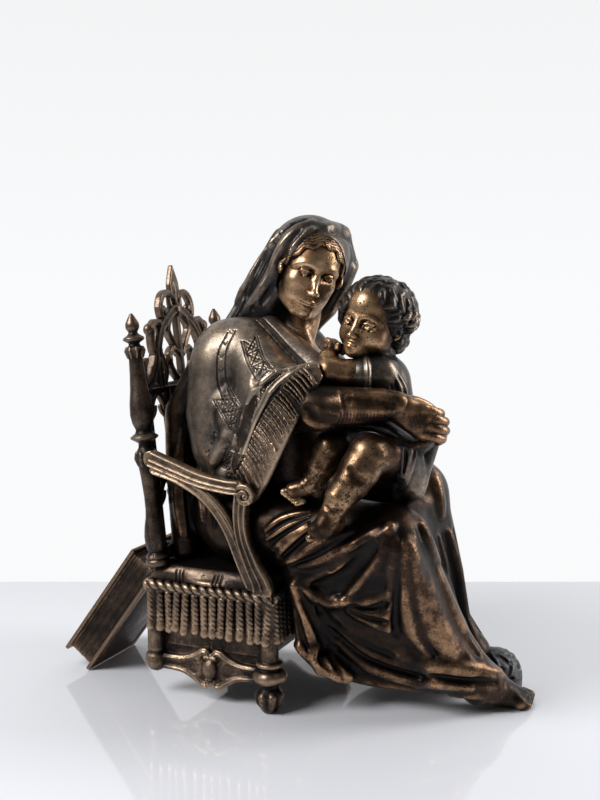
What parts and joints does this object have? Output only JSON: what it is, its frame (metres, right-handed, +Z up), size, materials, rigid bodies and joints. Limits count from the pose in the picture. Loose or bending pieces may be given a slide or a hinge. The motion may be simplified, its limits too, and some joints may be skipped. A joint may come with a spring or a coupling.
{
  "type": "madonna and child statuette",
  "caption": "Bronze figure group of a seated veiled mother holding her child, in an openwork Gothic armchair with a fringed seat, a leaning book and a small foot cushion.",
  "frame": {"origin": "on the floor, under the middle of the group's bounding box", "axes": "+X the way the chair faces, +Y to the sitter's left, +Z up"},
  "size_m": [0.4478, 0.2062, 0.4407],
  "materials": {
    "chair_bronze": "dark brown patina, worn copper gold on the edges",
    "figure_bronze": "two-tone patina, near black cloth and golden brown flesh",
    "book_bronze": "dark brown patina",
    "footstool_bronze": "near black patina"
  },
  "bodies": {
    "root": {"chair": "chair_bronze", "madonna_and_child": "figure_bronze", "book": "book_bronze", "footstool": "footstool_bronze"}
  },
  "joints": []
}
